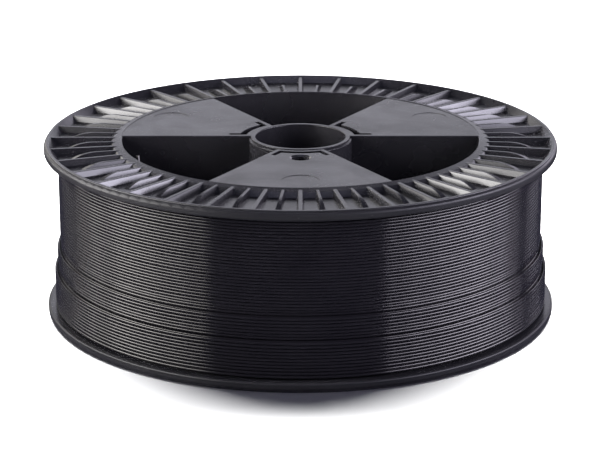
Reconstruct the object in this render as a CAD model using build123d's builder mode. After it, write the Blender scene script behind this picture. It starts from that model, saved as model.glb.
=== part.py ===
from build123d import *
import os
from math import cos, radians, sin, tan

os.makedirs("parts", exist_ok=True)

# A 300 mm filament spool lying flat. Its axis is Z and its lower face is Z = 0.
# The spool body is two identical mouldings that snap together halfway up. The lower one is
# drawn in place; the upper one is the same moulding turned half a turn about Y. Depths of
# the moulding's features are measured from its outer face.
spool_radius = 150.0
spool_width = 103.0
mid_plane = spool_width / 2

# Rim: a flat land that the spool stands on, and a half-round bead outside it.
rim_land_inner = 147.0
rim_land_outer = 148.8
rim_land_round = 0.5
rim_foot_inner = 143.0
bead_top = 1.0
bead_flat_start = 2.7
bead_flat_end = 4.6

# Flange plate between the drum and the rim, sunk below the rim as a ribbed trough.
trough_depth = 4.0
flange_thickness = 1.6
flange_back = trough_depth + flange_thickness

# Drum that the filament is wound on, and the ring that closes its end, which slopes outwards.
drum_radius = 107.0
drum_inner_radius = 104.5
ring_depth = 0.15
ring_outer_radius = 110.0
ring_outer_depth = 1.1
ring_foot_radius = 112.9
ring_chamfer_width = 0.8
ring_chamfer_depth = 0.5

# Ribs in the trough: long ones from ring to rim, and short ones between them. Their sides
# slope outwards to a wide foot.
rib_count = 36
rib_spacing = 360 / rib_count
rib_depth = 0.65
rib_start_radius = 107.0
long_rib_end = 147.0
long_rib_width = 2.1
short_rib_flat_end = 121.5
short_rib_end = 135.5
short_rib_width = 1.5
rib_slope = 17.0
rib_root = 0.5
rib_edge_round = 0.3

# Three closed sectors, with three open ones between them. Each is a plate on two walls,
# whose outer faces run parallel to the sector's radial edges, a little way in from them.
sector_angles = (30.0, 150.0, 270.0)
sector_span = 60.0
sector_inset = 1.6
plate_depth = 0.4
plate_thickness = 3.0
plate_edge_round = 0.6
wall_thickness = 2.0

# Hub tube with a collar round the bore, and a ledge below it that falls away outwards.
bore_radius = 26.4
bore_edge_round = 0.5
collar_radius = 29.0
ledge_depth = 1.2
ledge_fall = 0.4
hub_radius = 30.1

# Window round the hub in each sector, over the snap catches: an arc with two short legs.
window_inner_radius = 32.0
window_outer_radius = 36.0
window_span = 43.4
leg_offset = 6.1
leg_width = 3.0
leg_start = 33.0
leg_end = 41.8

# Hole for a machine's driving pin, and the round ejector mark on each sector.
drive_hole_radius = 5.25
drive_hole_offset = 44.5
drive_hole_chamfer = 1.0
mark_offset = 90.0
mark_radius = 10.5
mark_depth = 0.2

# Lap joint where the drum walls meet: each half has half a turn of tongue and of rebate.
tongue_inner_radius = 106.1
tongue_length = 3.0
rebate_outer_radius = 105.95
rebate_length = 3.3

# Snap catches beside the hub: two arms on each half, and two pockets for the other's arms.
arm_angles = (30.0, 283.0)
arm_span = 16.0
arm_inner_radius = 30.4
arm_outer_radius = 32.4
arm_root_bottom = mid_plane - 13.5
arm_root_top = mid_plane - 10.5
arm_top = mid_plane + 7.5
nose_bottom = mid_plane + 4.8
nose_radius = 29.0
pocket_span = 19.0
pocket_radius = 28.7
pocket_bottom = mid_plane - 8.0
pocket_top = mid_plane - 4.5

# Hole in the drum wall that the filament starts from.
start_hole_angle = 335.0
start_hole_radius = 1.5
start_hole_depth = 8.2

# Filament, wound as one strand: its stretches, from the drum outwards.
filament_diameter = 1.75
flange_gap = 0.2
winding_bottom = flange_back + flange_gap
winding_top = spool_width - winding_bottom
full_layer_radius = 142.0
full_layer_inner = full_layer_radius - filament_diameter
second_layer_radius = full_layer_radius + filament_diameter
second_layer_top = 42.0
last_layer_radius = second_layer_radius + filament_diameter
last_layer_top = 28.5
winding_edge_round = 0.8

# Start of the strand: out of the winding, through the drum wall and up inside the opening.
tail_angle = 180 - start_hole_angle
tail_height = spool_width - start_hole_depth
tail_bend_radius = 2.6
tail_knee = (101.6, tail_angle, tail_height)
tail_tip = (101.0, tail_angle - 1.6, spool_width - 0.6)


def polar(radius, angle, height=0.0):
    """Point at a radius, an angle about the spool's axis in degrees, and a height."""
    return (radius * cos(radians(angle)), radius * sin(radians(angle)), height)


def radial_plane(angle):
    """Plane through the spool's axis: X runs outwards at the angle and Y runs up."""
    return Plane(origin=(0, 0, 0), x_dir=polar(1, angle), z_dir=polar(1, angle - 90))


def round_corner(point, radius):
    """Round the corner of the current sketch that lies nearest to a point."""
    fillet(vertices().sort_by_distance((point[0], point[1], 0))[0], radius)


def ring_sector(inner, outer, middle, span):
    """Piece of a ring about the axis, added to the current sketch."""
    with BuildLine() as outline:
        outside = CenterArc((0, 0), outer, middle - span / 2, span)
        inside = CenterArc((0, 0), inner, middle - span / 2, span)
        Line(outside @ 0, inside @ 0)
        Line(outside @ 1, inside @ 1)
    make_face(outline.edges())


def edge_strip(middle, side, offset, width, start, end):
    """Strip parallel to one edge of a sector, its middle a given way in from that edge."""
    edge_angle = middle + side * sector_span / 2
    along = Vector(*polar((start + end) / 2, edge_angle))
    inwards = Vector(*polar(offset, edge_angle - side * 90))
    with Locations(Location(along + inwards, (0, 0, edge_angle))):
        Rectangle(end - start, width)


def block_sector(inner, outer, middle, span, bottom, top, mode):
    """Solid piece of a ring between two heights, added to or cut from the current part."""
    with BuildSketch(Plane.XY.offset(bottom)) as section:
        ring_sector(inner, outer, middle, span)
    extrude(section.sketch, amount=top - bottom, mode=mode)


def rib_section(width):
    """Section across a rib: a bar with sloping sides and rounded upper edges."""
    height = trough_depth + rib_root - rib_depth
    half_foot = width / 2 + height * tan(radians(rib_slope))
    with BuildSketch(Plane.YZ.offset(rib_start_radius)) as section:
        with BuildLine() as outline:
            Polyline(
                (-width / 2, rib_depth),
                (width / 2, rib_depth),
                (half_foot, rib_depth + height),
                (-half_foot, rib_depth + height),
                close=True,
            )
        make_face(outline.edges())
        round_corner((-width / 2, rib_depth), rib_edge_round)
        round_corner((width / 2, rib_depth), rib_edge_round)
    return section.sketch


# Long rib, lying along +X.
with BuildPart() as long_rib:
    extrude(rib_section(long_rib_width), amount=long_rib_end - rib_start_radius)

# Short rib: full height beside the ring, then a curve down to the trough's floor.
with BuildPart() as short_rib:
    extrude(rib_section(short_rib_width), amount=short_rib_end - rib_start_radius)
    with BuildSketch(Plane.XZ):
        with BuildLine():
            curve = TangentArc(
                (short_rib_flat_end, rib_depth), (short_rib_end, trough_depth), tangent=(1, 0)
            )
            Polyline(curve @ 1, (short_rib_end, 0), (short_rib_flat_end, 0), curve @ 0)
        make_face()
    extrude(amount=spool_radius, both=True, mode=Mode.SUBTRACT)

# Closed sector whose middle lies along +X: a plate over two walls, from hub tube to drum.
with BuildPart() as sector_body:
    edge_turn = radians(sector_span / 2)
    reach = 2 * drum_radius
    reach_side = reach * sin(edge_turn) / cos(edge_turn)
    tip = sector_inset / sin(edge_turn)
    with BuildSketch(Plane.XY.offset(plate_depth)):
        with BuildLine():
            Polyline((tip, 0), (tip + reach, reach_side), (tip + reach, -reach_side), close=True)
        make_face()
    extrude(amount=mid_plane - plate_depth)
    top_edges = sector_body.faces().sort_by(Axis.Z)[0].edges()
    fillet(top_edges.filter_by(lambda edge: abs(edge.center().Y) > 1), plate_edge_round)
    cell_tip = (sector_inset + wall_thickness) / sin(edge_turn)
    with BuildSketch(Plane.XY.offset(plate_depth + plate_thickness)):
        with BuildLine():
            Polyline(
                (cell_tip, 0),
                (cell_tip + reach, reach_side),
                (cell_tip + reach, -reach_side),
                close=True,
            )
        make_face()
    extrude(amount=mid_plane, mode=Mode.SUBTRACT)
    with BuildSketch():
        Circle(drum_inner_radius + 1)
        Circle(collar_radius - 0.5, mode=Mode.SUBTRACT)
    extrude(amount=mid_plane, mode=Mode.INTERSECT)

# Lower moulding: rim, flange, ribs, ring, drum wall, sectors and hub tube.
with BuildPart() as lower_half:
    # Section of rim, flange, ring and drum wall.
    with BuildSketch(Plane.XZ):
        with BuildLine():
            land = Line((rim_land_inner, 0), (rim_land_outer, 0))
            step = Line(land @ 1, (rim_land_outer, bead_top))
            side = Line((spool_radius, bead_flat_start), (spool_radius, bead_flat_end))
            TangentArc(side @ 0, step @ 1, tangent=(0, -1))
            bead_foot = (spool_radius - (flange_back - bead_flat_end), flange_back)
            TangentArc(side @ 1, bead_foot, tangent=(0, 1))
            Polyline(
                bead_foot,
                (drum_radius, flange_back),
                (drum_radius, mid_plane),
                (drum_inner_radius, mid_plane),
                (drum_inner_radius, ring_depth + ring_chamfer_depth),
                (drum_inner_radius + ring_chamfer_width, ring_depth),
                (ring_outer_radius, ring_outer_depth),
                (ring_foot_radius, trough_depth),
                (rim_foot_inner, trough_depth),
                (rim_land_inner, 0),
            )
        make_face()
        round_corner((rim_land_inner, 0), rim_land_round)
        round_corner((rim_land_outer, 0), 0.5)
        round_corner((ring_outer_radius, ring_outer_depth), 0.9)
        round_corner((ring_foot_radius, trough_depth), 0.5)
        round_corner((rim_foot_inner, trough_depth), 0.8)
    revolve(axis=Axis.Z)

    # Section of the hub tube, with its collar and ledge.
    with BuildSketch(Plane.XZ):
        with BuildLine():
            Polyline(
                (bore_radius, 0),
                (collar_radius, 0),
                (collar_radius, ledge_depth),
                (hub_radius, ledge_depth + ledge_fall),
                (hub_radius, mid_plane),
                (bore_radius, mid_plane),
                close=True,
            )
        make_face()
        round_corner((bore_radius, 0), bore_edge_round)
        round_corner((collar_radius, 0), 0.25)
        round_corner((hub_radius, ledge_depth + ledge_fall), 0.2)
    revolve(axis=Axis.Z)

    # Closed sectors.
    with PolarLocations(0, len(sector_angles), start_angle=sector_angles[0]):
        add(sector_body.part)

    # Windows beside the hub.
    with BuildSketch(Plane.XY):
        for angle in sector_angles:
            ring_sector(window_inner_radius, window_outer_radius, angle, window_span)
            for side_sign in (-1, 1):
                edge_strip(angle, side_sign, leg_offset, leg_width, leg_start, leg_end)
    extrude(amount=plate_depth + plate_thickness + 0.5, mode=Mode.SUBTRACT)

    # Driving hole, with a chamfered mouth.
    with BuildSketch(Plane.XY):
        with Locations(polar(drive_hole_offset, 270)):
            Circle(drive_hole_radius)
    extrude(amount=plate_depth + plate_thickness + 0.5, mode=Mode.SUBTRACT)
    hole_mouth = lower_half.edges().filter_by(GeomType.CIRCLE).sort_by_distance(
        polar(drive_hole_offset, 270, plate_depth)
    )
    chamfer(hole_mouth[0], drive_hole_chamfer)

    # Round ejector marks, as shallow discs.
    with BuildSketch(Plane.XY.offset(plate_depth + mark_depth)):
        for angle in sector_angles:
            with Locations(polar(mark_offset, angle)):
                Circle(mark_radius)
    extrude(amount=-2 * mark_depth, mode=Mode.SUBTRACT)

    # Ribs.
    with PolarLocations(0, rib_count):
        add(long_rib.part)
    with PolarLocations(0, rib_count, start_angle=rib_spacing / 2):
        add(short_rib.part)

    # Lap joint: tongue on the +X side, rebate on the -X side.
    block_sector(
        tongue_inner_radius, drum_radius, 0, 180, mid_plane, mid_plane + tongue_length, Mode.ADD
    )
    block_sector(
        rebate_outer_radius,
        drum_radius + 1,
        180,
        180,
        mid_plane - rebate_length,
        mid_plane,
        Mode.SUBTRACT,
    )

    # Snap arms, each with a nose whose upper side slopes as a lead-in.
    for angle in arm_angles:
        with BuildSketch(radial_plane(angle - arm_span / 2)):
            with BuildLine():
                Polyline(
                    (hub_radius - 0.3, arm_root_bottom),
                    (arm_outer_radius, arm_root_bottom),
                    (arm_outer_radius, arm_top),
                    (arm_inner_radius, arm_top),
                    (nose_radius, nose_bottom + 0.8),
                    (nose_radius, nose_bottom),
                    (arm_inner_radius, nose_bottom),
                    (arm_inner_radius, arm_root_top),
                    (hub_radius - 0.3, arm_root_top),
                    close=True,
                )
            make_face()
        revolve(axis=Axis.Z, revolution_arc=arm_span)

    # Pockets in the hub tube that take the other half's noses.
    for angle in arm_angles:
        block_sector(
            pocket_radius,
            hub_radius + 0.2,
            180 - angle,
            pocket_span,
            pocket_bottom,
            pocket_top,
            Mode.SUBTRACT,
        )

    # Hole that the filament starts from.
    hole_inside = polar(drum_inner_radius - 1, start_hole_angle, start_hole_depth)
    with BuildSketch(Plane(origin=hole_inside, z_dir=polar(1, start_hole_angle))):
        Circle(start_hole_radius)
    extrude(amount=drum_radius - drum_inner_radius + 2, mode=Mode.SUBTRACT)

lower_half.part.label = "lower_half"
export_step(lower_half.part, "parts/lower_half.step")

# Upper moulding: the same one, turned over.
with BuildPart() as upper_half:
    with Locations(Location((0, 0, spool_width), (0, 180, 0))):
        add(lower_half.part)

upper_half.part.label = "upper_half"
export_step(upper_half.part, "parts/upper_half.step")


def wound_stretch(inner, outer, top):
    """Stretch of winding between two radii, from the lower flange up to a height."""
    with BuildSketch(Plane.XY.offset(winding_bottom)) as section:
        Circle(outer)
        Circle(inner, mode=Mode.SUBTRACT)
    extrude(section.sketch, amount=top - winding_bottom)


# All the layers under the outermost full one.
with BuildPart() as filament_inner_layers:
    wound_stretch(drum_radius, full_layer_inner, winding_top)

filament_inner_layers.part.label = "filament_inner_layers"
export_step(filament_inner_layers.part, "parts/filament_inner_layers.step")

# The last layer that runs from flange to flange.
with BuildPart() as filament_full_layer:
    wound_stretch(full_layer_inner, full_layer_radius, winding_top)
    upper_rim = filament_full_layer.edges().filter_by(GeomType.CIRCLE).group_by(Axis.Z)[-1]
    fillet(upper_rim.sort_by(SortBy.RADIUS)[-1], winding_edge_round)

filament_full_layer.part.label = "filament_full_layer"
export_step(filament_full_layer.part, "parts/filament_full_layer.step")

# The layer over it, which stops less than halfway up.
with BuildPart() as filament_second_layer:
    wound_stretch(full_layer_radius, second_layer_radius, second_layer_top)
    upper_rim = filament_second_layer.edges().filter_by(GeomType.CIRCLE).group_by(Axis.Z)[-1]
    fillet(upper_rim.sort_by(SortBy.RADIUS)[-1], winding_edge_round)

filament_second_layer.part.label = "filament_second_layer"
export_step(filament_second_layer.part, "parts/filament_second_layer.step")

# The outermost turns, which lie at the lower flange.
with BuildPart() as filament_last_layer:
    wound_stretch(second_layer_radius, last_layer_radius, last_layer_top)
    upper_rim = filament_last_layer.edges().filter_by(GeomType.CIRCLE).group_by(Axis.Z)[-1]
    fillet(upper_rim.sort_by(SortBy.RADIUS)[-1], winding_edge_round)

filament_last_layer.part.label = "filament_last_layer"
export_step(filament_last_layer.part, "parts/filament_last_layer.step")

# The strand's start, as a bent tube.
with BuildPart() as filament_start:
    with BuildLine():
        route = FilletPolyline(
            polar(drum_radius - 0.01, tail_angle, tail_height),
            polar(*tail_knee),
            polar(*tail_tip),
            radius=tail_bend_radius,
        )
    with BuildSketch(Plane(origin=route @ 0, z_dir=route % 0)):
        Circle(filament_diameter / 2)
    sweep()

filament_start.part.label = "filament_start"
export_step(filament_start.part, "parts/filament_start.step")
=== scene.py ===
import math
import random

import bpy
import numpy as np
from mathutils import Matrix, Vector


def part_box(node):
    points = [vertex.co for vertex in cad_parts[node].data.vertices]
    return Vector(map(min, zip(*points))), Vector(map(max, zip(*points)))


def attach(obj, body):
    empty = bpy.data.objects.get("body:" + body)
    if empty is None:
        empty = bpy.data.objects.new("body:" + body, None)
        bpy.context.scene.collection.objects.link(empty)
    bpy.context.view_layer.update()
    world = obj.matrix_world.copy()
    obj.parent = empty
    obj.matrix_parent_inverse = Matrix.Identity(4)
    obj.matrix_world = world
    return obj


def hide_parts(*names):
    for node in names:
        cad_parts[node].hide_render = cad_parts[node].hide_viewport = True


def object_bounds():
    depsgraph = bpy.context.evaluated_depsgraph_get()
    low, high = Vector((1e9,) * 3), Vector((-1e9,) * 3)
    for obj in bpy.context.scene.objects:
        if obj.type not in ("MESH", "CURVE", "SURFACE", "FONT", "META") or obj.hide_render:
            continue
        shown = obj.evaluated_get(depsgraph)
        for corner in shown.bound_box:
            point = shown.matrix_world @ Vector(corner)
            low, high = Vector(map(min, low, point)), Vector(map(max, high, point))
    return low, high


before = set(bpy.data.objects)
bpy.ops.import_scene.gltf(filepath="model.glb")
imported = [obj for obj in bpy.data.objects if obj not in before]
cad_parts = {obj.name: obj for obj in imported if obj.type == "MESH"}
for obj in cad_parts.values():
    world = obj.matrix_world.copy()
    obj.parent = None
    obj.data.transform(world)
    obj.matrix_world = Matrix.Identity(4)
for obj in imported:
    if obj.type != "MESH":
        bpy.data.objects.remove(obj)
cad_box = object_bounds()

MM = 0.001
SEED = 7

# ---------------------------------------------------------------- what the frame gives
FLOOR_HEIGHT = cad_box[0].z
WIDTH = cad_box[1].z - cad_box[0].z
HALVES = ("lower_half", "upper_half")


# ---------------------------------------------------------------- small helpers
def outer_radius(node):
    """Largest distance of a ring-shaped CAD node from the spool's axis."""
    low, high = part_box(node)
    return (high.x - low.x) / 2


def mesh_object(name, vertices, faces, smooth=True):
    """Mesh object in the scene from plain lists or arrays of points and faces."""
    mesh = bpy.data.meshes.new(name)
    mesh.from_pydata([tuple(v) for v in vertices], [], [tuple(f) for f in faces])
    mesh.validate()
    if smooth:
        mesh.polygons.foreach_set("use_smooth", [True] * len(mesh.polygons))
    mesh.update()
    made = bpy.data.objects.new(name, mesh)
    bpy.context.scene.collection.objects.link(made)
    return made


# ---------------------------------------------------------------- materials
# Radii between which the rim's outer edge turns scuffed, and between which the plates' strong
# changes of gloss give way to the weaker ones farther out.
SCUFF_RADII = (148.4 * MM, 149.2 * MM)
PLATE_EDGE_RADII = (103 * MM, 106 * MM)


class Nodes:
    """Short way to build a material's nodes."""

    def __init__(self, name):
        self.material = bpy.data.materials.new(name)
        self.material.use_nodes = True
        self.tree = self.material.node_tree
        self.tree.nodes.clear()

    def add(self, kind, inputs=None, **settings):
        node = self.tree.nodes.new(kind)
        for key, value in settings.items():
            setattr(node, key, value)
        for key, value in (inputs or {}).items():
            if isinstance(value, bpy.types.NodeSocket):
                self.tree.links.new(value, node.inputs[key])
            else:
                node.inputs[key].default_value = value
        return node

    def ramp(self, value, start, end, low, high):
        """Output that goes from low to high while the value goes from start to end."""
        return self.add(
            "ShaderNodeMapRange",
            {"Value": value, "From Min": start, "From Max": end, "To Min": low, "To Max": high},
        ).outputs[0]

    def mix(self, factor, first, second):
        """Colour between two colours; either may be another node's output."""
        node = self.add("ShaderNodeMix", {"Factor": factor}, data_type="RGBA")
        for socket, colour in ((node.inputs[6], first), (node.inputs[7], second)):
            if isinstance(colour, bpy.types.NodeSocket):
                self.tree.links.new(colour, socket)
            else:
                socket.default_value = colour
        return node.outputs[2]

    def finish(self, surface):
        output = self.add("ShaderNodeOutputMaterial")
        self.tree.links.new(surface.outputs[0], output.inputs["Surface"])
        return self.material


def spool_plastic():
    """Black moulded plastic: fine grain, cloudy gloss, specks of dust and a scuffed rim."""
    n = Nodes("spool_plastic_moulded")
    place = n.add("ShaderNodeNewGeometry").outputs["Position"]
    flat = n.add(
        "ShaderNodeVectorMath", {0: place, 1: (1.0, 1.0, 0.0)}, operation="MULTIPLY"
    ).outputs[0]
    reach = n.add("ShaderNodeVectorMath", {0: flat}, operation="LENGTH").outputs["Value"]
    grain = n.add("ShaderNodeTexNoise", {"Vector": place, "Scale": 2600.0, "Detail": 2.0})
    flow = n.add("ShaderNodeTexNoise", {"Vector": place, "Scale": 30.0, "Detail": 4.0})
    smudge = n.add("ShaderNodeTexNoise", {"Vector": place, "Scale": 14.0, "Detail": 4.0})
    speck = n.add("ShaderNodeTexVoronoi", {"Vector": place, "Scale": 170.0, "Randomness": 1.0})

    tint = n.ramp(smudge.outputs[0], 0.3, 0.7, 0.0, 1.0)
    colour = n.mix(tint, (0.0075, 0.0075, 0.0095, 1), (0.0120, 0.0118, 0.0142, 1))
    dust = n.ramp(speck.outputs["Distance"], 0.035, 0.075, 0.6, 0.0)
    dusted = n.mix(dust, colour, (0.055, 0.054, 0.056, 1))
    polish = n.ramp(flow.outputs[0], 0.3, 0.7, 0.21, 0.29)
    scuff = n.ramp(reach, *SCUFF_RADII, 0.0, 0.14)
    rough = n.add("ShaderNodeMath", {0: polish, 1: scuff}, operation="ADD").outputs[0]
    cloud = n.add(
        "ShaderNodeTexNoise",
        {"Vector": place, "Scale": 17.0, "Detail": 3.0, "Distortion": 1.6},
    )
    dull = n.ramp(reach, *PLATE_EDGE_RADII, 0.28, 0.54)
    bright = n.ramp(reach, *PLATE_EDGE_RADII, 0.70, 0.64)
    clouded = n.ramp(cloud.outputs[0], 0.35, 0.65, dull, bright)
    kept = n.ramp(reach, *SCUFF_RADII, 1.0, 0.36)
    gloss = n.add("ShaderNodeMath", {0: clouded, 1: kept}, operation="MULTIPLY").outputs[0]
    bump = n.add(
        "ShaderNodeBump", {"Height": grain.outputs[0], "Strength": 0.06, "Distance": 0.05 * MM}
    )
    shader = n.add(
        "ShaderNodeBsdfPrincipled",
        {
            "Base Color": dusted,
            "Roughness": rough,
            "Specular IOR Level": gloss,
            "Specular Tint": (0.93, 0.95, 1.0, 1),
            "Normal": bump.outputs[0],
            "IOR": 1.5,
        },
    )
    return n.finish(shader)


def filament_plastic():
    """Black extruded strand: glossy, with faint changes of gloss along it."""
    n = Nodes("filament_strand")
    place = n.add("ShaderNodeNewGeometry").outputs["Position"]
    streak = n.add("ShaderNodeTexNoise", {"Vector": place, "Scale": 45.0, "Detail": 3.0})
    rough = n.ramp(streak.outputs[0], 0.3, 0.7, 0.10, 0.16)
    tone = n.mix(streak.outputs[0], (0.0045, 0.0042, 0.0060, 1), (0.0085, 0.0080, 0.0105, 1))
    shader = n.add(
        "ShaderNodeBsdfPrincipled", {"Base Color": tone, "Roughness": rough, "IOR": 1.48}
    )
    return n.finish(shader)


# ---------------------------------------------------------------- the winding
# Strand thickness and the least rise from turn to turn.
STRAND = 1.75 * MM
PITCH = 1.768 * MM
# Points round the strand, steps in a turn, and how much deeper a valley's turns lie.
SIDES = 12
STEPS = 144
VALLEY_DEPTH = 0.9 * MM
# How far turns stray from even height and radius: a standard deviation, in millimetres.
WANDER = 0.08
# Each layer begins at the back of the spool.
START_ANGLE = math.pi / 2


def turns(name, radius, bottom, top, seed, material, node, valley=None):
    """One layer of strand: a helix of real turns that stand for a CAD ring.

    radius is the layer's outer radius, bottom and top its ends along the axis. valley is the
    height where the layer's turns lie a little deeper, beside the end of the layer over it.
    """
    rng = random.Random(seed)
    count = max(2, int((top - bottom) / PITCH))
    pitch = (top - bottom - STRAND) / (count - 1)
    lift = [rng.gauss(0, WANDER) * MM for _ in range(count + 2)]
    swell = [rng.gauss(0, WANDER) * MM for _ in range(count + 2)]
    total = (count - 1) * STEPS + 1
    i = np.arange(total)
    angle = 2 * math.pi * i / STEPS + START_ANGLE
    turn = i / STEPS
    low = np.floor(turn).astype(int)
    share = turn - low
    ease = share * share * (3 - 2 * share)
    lifts = np.array(lift)[low] * (1 - ease) + np.array(lift)[low + 1] * ease
    swells = np.array(swell)[low] * (1 - ease) + np.array(swell)[low + 1] * ease
    height = bottom + STRAND / 2 + pitch * turn + lifts
    height = np.clip(height, bottom + STRAND / 2, top - STRAND / 2)
    reach = radius - STRAND / 2 + np.minimum(swells, 0.0)
    if valley is not None:
        reach = reach - VALLEY_DEPTH * np.exp(-(((height - valley) / STRAND) ** 2))
    around = 2 * math.pi * np.arange(SIDES) / SIDES
    r = reach[:, None] + STRAND / 2 * np.cos(around)[None, :]
    z = height[:, None] + STRAND / 2 * np.sin(around)[None, :]
    x = r * np.cos(angle)[:, None]
    y = r * np.sin(angle)[:, None]
    points = np.stack([x, y, z], axis=2).reshape(-1, 3)
    faces = []
    for s in range(total - 1):
        a = s * SIDES
        b = a + SIDES
        for k in range(SIDES):
            j = (k + 1) % SIDES
            faces.append((a + k, b + k, b + j, a + j))
    faces.append(tuple(range(SIDES)))
    last = (total - 1) * SIDES
    faces.append(tuple(last + SIDES - 1 - k for k in range(SIDES)))
    piece = mesh_object(name, points, faces)
    piece.data.materials.append(material)
    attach(piece, "root")
    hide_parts(node)


# ---------------------------------------------------------------- camera, lights, floor
def camera():
    """Camera at the photograph's angle: straight on, a little above the spool."""
    distance = 1.4146
    elevation = math.radians(17.52)
    aim = Vector((-0.00024, 0, 0.0483))
    back = Vector((0, -math.cos(elevation), math.sin(elevation)))
    data = bpy.data.cameras.new("camera")
    data.sensor_width = 36.0
    data.lens = 143.07
    made = bpy.data.objects.new("camera", data)
    bpy.context.scene.collection.objects.link(made)
    made.location = aim + distance * back
    made.rotation_euler = (-back).to_track_quat("-Z", "Y").to_euler()
    bpy.context.scene.camera = made


def panel(name, azimuth, low, high, distance, radiance, colour, span):
    """Upright rectangular light of even brightness, facing the spool and unseen by the camera.

    azimuth is measured from the camera's side, positive to the right. low and high are the
    elevations of its edges and span is its width, all in degrees as seen from the spool.
    """
    turn = math.radians(azimuth)
    bottom = distance * math.tan(math.radians(low))
    top = distance * math.tan(math.radians(high))
    width = 2 * distance * math.tan(math.radians(span / 2))
    data = bpy.data.lights.new(name, "AREA")
    data.shape = "RECTANGLE"
    data.size = width
    data.size_y = top - bottom
    data.energy = radiance * math.pi * width * (top - bottom)
    data.color = colour
    made = bpy.data.objects.new(name, data)
    bpy.context.scene.collection.objects.link(made)
    made.location = (
        distance * math.sin(turn),
        -distance * math.cos(turn),
        WIDTH + (bottom + top) / 2,
    )
    made.rotation_euler = (math.pi / 2, 0, turn)
    made.visible_camera = False
    return made


def raised_square(name, azimuth, elevation, distance, size, radiance):
    """Square light above the spool, facing it and unseen by the camera.

    azimuth is measured as in panel; elevation is in degrees as seen from the spool.
    """
    turn = math.radians(azimuth)
    rise = math.radians(elevation)
    data = bpy.data.lights.new(name, "AREA")
    data.size = size
    data.energy = radiance * math.pi * size * size
    made = bpy.data.objects.new(name, data)
    bpy.context.scene.collection.objects.link(made)
    made.location = (
        distance * math.cos(rise) * math.sin(turn),
        -distance * math.cos(rise) * math.cos(turn),
        distance * math.sin(rise),
    )
    made.rotation_euler = (-made.location).to_track_quat("-Z", "Y").to_euler()
    made.visible_camera = False
    return made


def plane(name, low, high, height, material):
    """Flat rectangle at a height."""
    corners = [(low[0], low[1]), (high[0], low[1]), (high[0], high[1]), (low[0], high[1])]
    made = mesh_object(name, [(x, y, height) for x, y in corners], [(0, 1, 2, 3)], smooth=False)
    made.data.materials.append(material)
    return made


# Azimuths in degrees where each side's softboxes begin and end, their shares of the full
# radiance, and the radiance of the strip that stands behind them.
SIDE_LIGHTS = (
    {
        "side": -1,
        "colour": (1.0, 0.96, 0.91),
        "limits": (42, 52, 66, 92, 108, 122),
        "shares": (0.5, 0.8, 1.0, 0.46, 0.26),
        "strip_radiance": 2.0,
    },
    {
        "side": 1,
        "colour": (0.92, 0.87, 1.0),
        "limits": (38, 49, 63, 92, 106, 116),
        "shares": (0.5, 0.8, 1.0, 0.60, 0.23),
        "strip_radiance": 3.0,
    },
)
SOFTBOX_DISTANCE = 1.1
SOFTBOX_RADIANCE = 14.5
# The surroundings' colour, and their strength as a light and as the camera sees them.
WORLD_COLOUR = (0.86, 0.85, 1.25, 1)
WORLD_LIGHT = 0.07
WORLD_SEEN = 1.2


def light_group(name, objects, state="INCLUDE"):
    """Collection that says which objects a light reaches, or which it leaves out."""
    group = bpy.data.collections.new(name)
    for number, member in enumerate(objects):
        group.objects.link(member)
        group.collection_objects[number].light_linking.link_state = state
    return group


def side_lights(all_but_floor, halves):
    """Softboxes, a strip and a light for the ribs on each side."""
    for setup in SIDE_LIGHTS:
        side, colour = setup["side"], setup["colour"]
        for number, share in enumerate(setup["shares"]):
            start, end = setup["limits"][number : number + 2]
            softbox = panel(
                f"softbox_{side}_{number}",
                azimuth=side * (start + end) / 2,
                low=3,
                high=30,
                distance=SOFTBOX_DISTANCE,
                radiance=SOFTBOX_RADIANCE * share,
                colour=colour,
                span=end - start,
            )
            softbox.light_linking.receiver_collection = all_but_floor
        strip = panel(
            f"strip_{side}",
            azimuth=side * 141,
            low=14,
            high=22,
            distance=SOFTBOX_DISTANCE,
            radiance=setup["strip_radiance"],
            colour=colour,
            span=20,
        )
        strip.light_linking.receiver_collection = all_but_floor
        rib_light = panel(
            f"rib_light_{side}",
            azimuth=side * 140,
            low=4,
            high=30,
            distance=SOFTBOX_DISTANCE,
            radiance=1.7,
            colour=colour,
            span=36,
        )
        rib_light.light_linking.receiver_collection = halves


def surroundings():
    """Even surroundings: white where the camera sees them, dim and bluish as a light."""
    world = bpy.data.worlds.new("studio")
    bpy.context.scene.world = world
    world.use_nodes = True
    tree = world.node_tree
    tree.nodes.clear()
    path = tree.nodes.new("ShaderNodeLightPath")
    level = tree.nodes.new("ShaderNodeMapRange")
    tree.links.new(path.outputs["Is Camera Ray"], level.inputs["Value"])
    level.inputs["To Min"].default_value = WORLD_LIGHT
    level.inputs["To Max"].default_value = WORLD_SEEN
    shade = tree.nodes.new("ShaderNodeBackground")
    shade.inputs["Color"].default_value = WORLD_COLOUR
    tree.links.new(level.outputs[0], shade.inputs["Strength"])
    output = tree.nodes.new("ShaderNodeOutputWorld")
    tree.links.new(shade.outputs[0], output.inputs["Surface"])


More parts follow.
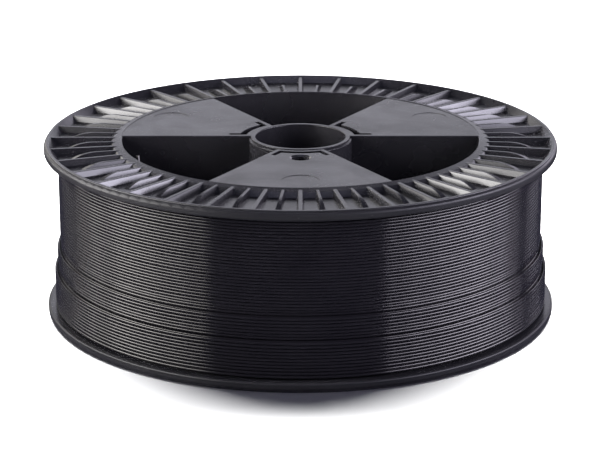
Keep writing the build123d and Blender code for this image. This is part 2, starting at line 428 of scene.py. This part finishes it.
def studio():
    """White floor and surroundings, side lights, a backdrop, floor lights and a top light."""
    n = Nodes("floor_white")
    paper = n.add(
        "ShaderNodeBsdfPrincipled",
        {"Base Color": (0.9, 0.9, 0.9, 1), "Roughness": 0.9, "Specular IOR Level": 0.0},
    )
    floor = plane("floor", (-6, -6), (6, 6), FLOOR_HEIGHT, n.finish(paper))
    floor.visible_glossy = False

    all_but_floor = light_group("not_lit_by_softboxes", [floor], "EXCLUDE")
    halves = light_group("halves_only", [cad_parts[half] for half in HALVES])
    only_floor = light_group("lit_by_floor_lights", [floor])
    side_lights(all_but_floor, halves)
    panel(
        "backdrop",
        azimuth=180,
        low=2,
        high=34,
        distance=1.5,
        radiance=0.88,
        colour=(0.93, 0.92, 1.0),
        span=36,
    )
    for azimuth in (-132, 132):
        floor_light = raised_square(
            f"floor_light_{azimuth}", azimuth, elevation=62, distance=1.3, size=0.6, radiance=38.0
        )
        floor_light.light_linking.receiver_collection = only_floor
    top_light = raised_square(
        "top_light", azimuth=0, elevation=73, distance=1.25, size=0.85, radiance=0.55
    )
    top_light.data.color = (0.85, 0.84, 1.1)
    top_light.light_linking.receiver_collection = halves
    surroundings()
    bpy.context.scene.view_settings.view_transform = "Standard"


# ---------------------------------------------------------------- the model
camera()
studio()

body_material = spool_plastic()
strand_material = filament_plastic()
for half in HALVES:
    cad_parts[half].material_slots[0].material = body_material
for stretch in ("filament_inner_layers", "filament_start"):
    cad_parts[stretch].material_slots[0].material = strand_material

full_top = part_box("filament_full_layer")[1].z
second_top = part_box("filament_second_layer")[1].z
last_low, last_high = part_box("filament_last_layer")
turns(
    "full_layer_turns",
    outer_radius("filament_full_layer"),
    second_top - 2 * STRAND,
    full_top,
    SEED,
    strand_material,
    "filament_full_layer",
    valley=second_top + STRAND / 2,
)
turns(
    "second_layer_turns",
    outer_radius("filament_second_layer"),
    last_high.z - 2 * STRAND,
    second_top,
    SEED + 1,
    strand_material,
    "filament_second_layer",
    valley=last_high.z + STRAND / 2,
)
turns(
    "last_layer_turns",
    outer_radius("filament_last_layer"),
    last_low.z,
    last_high.z,
    SEED + 2,
    strand_material,
    "filament_last_layer",
)
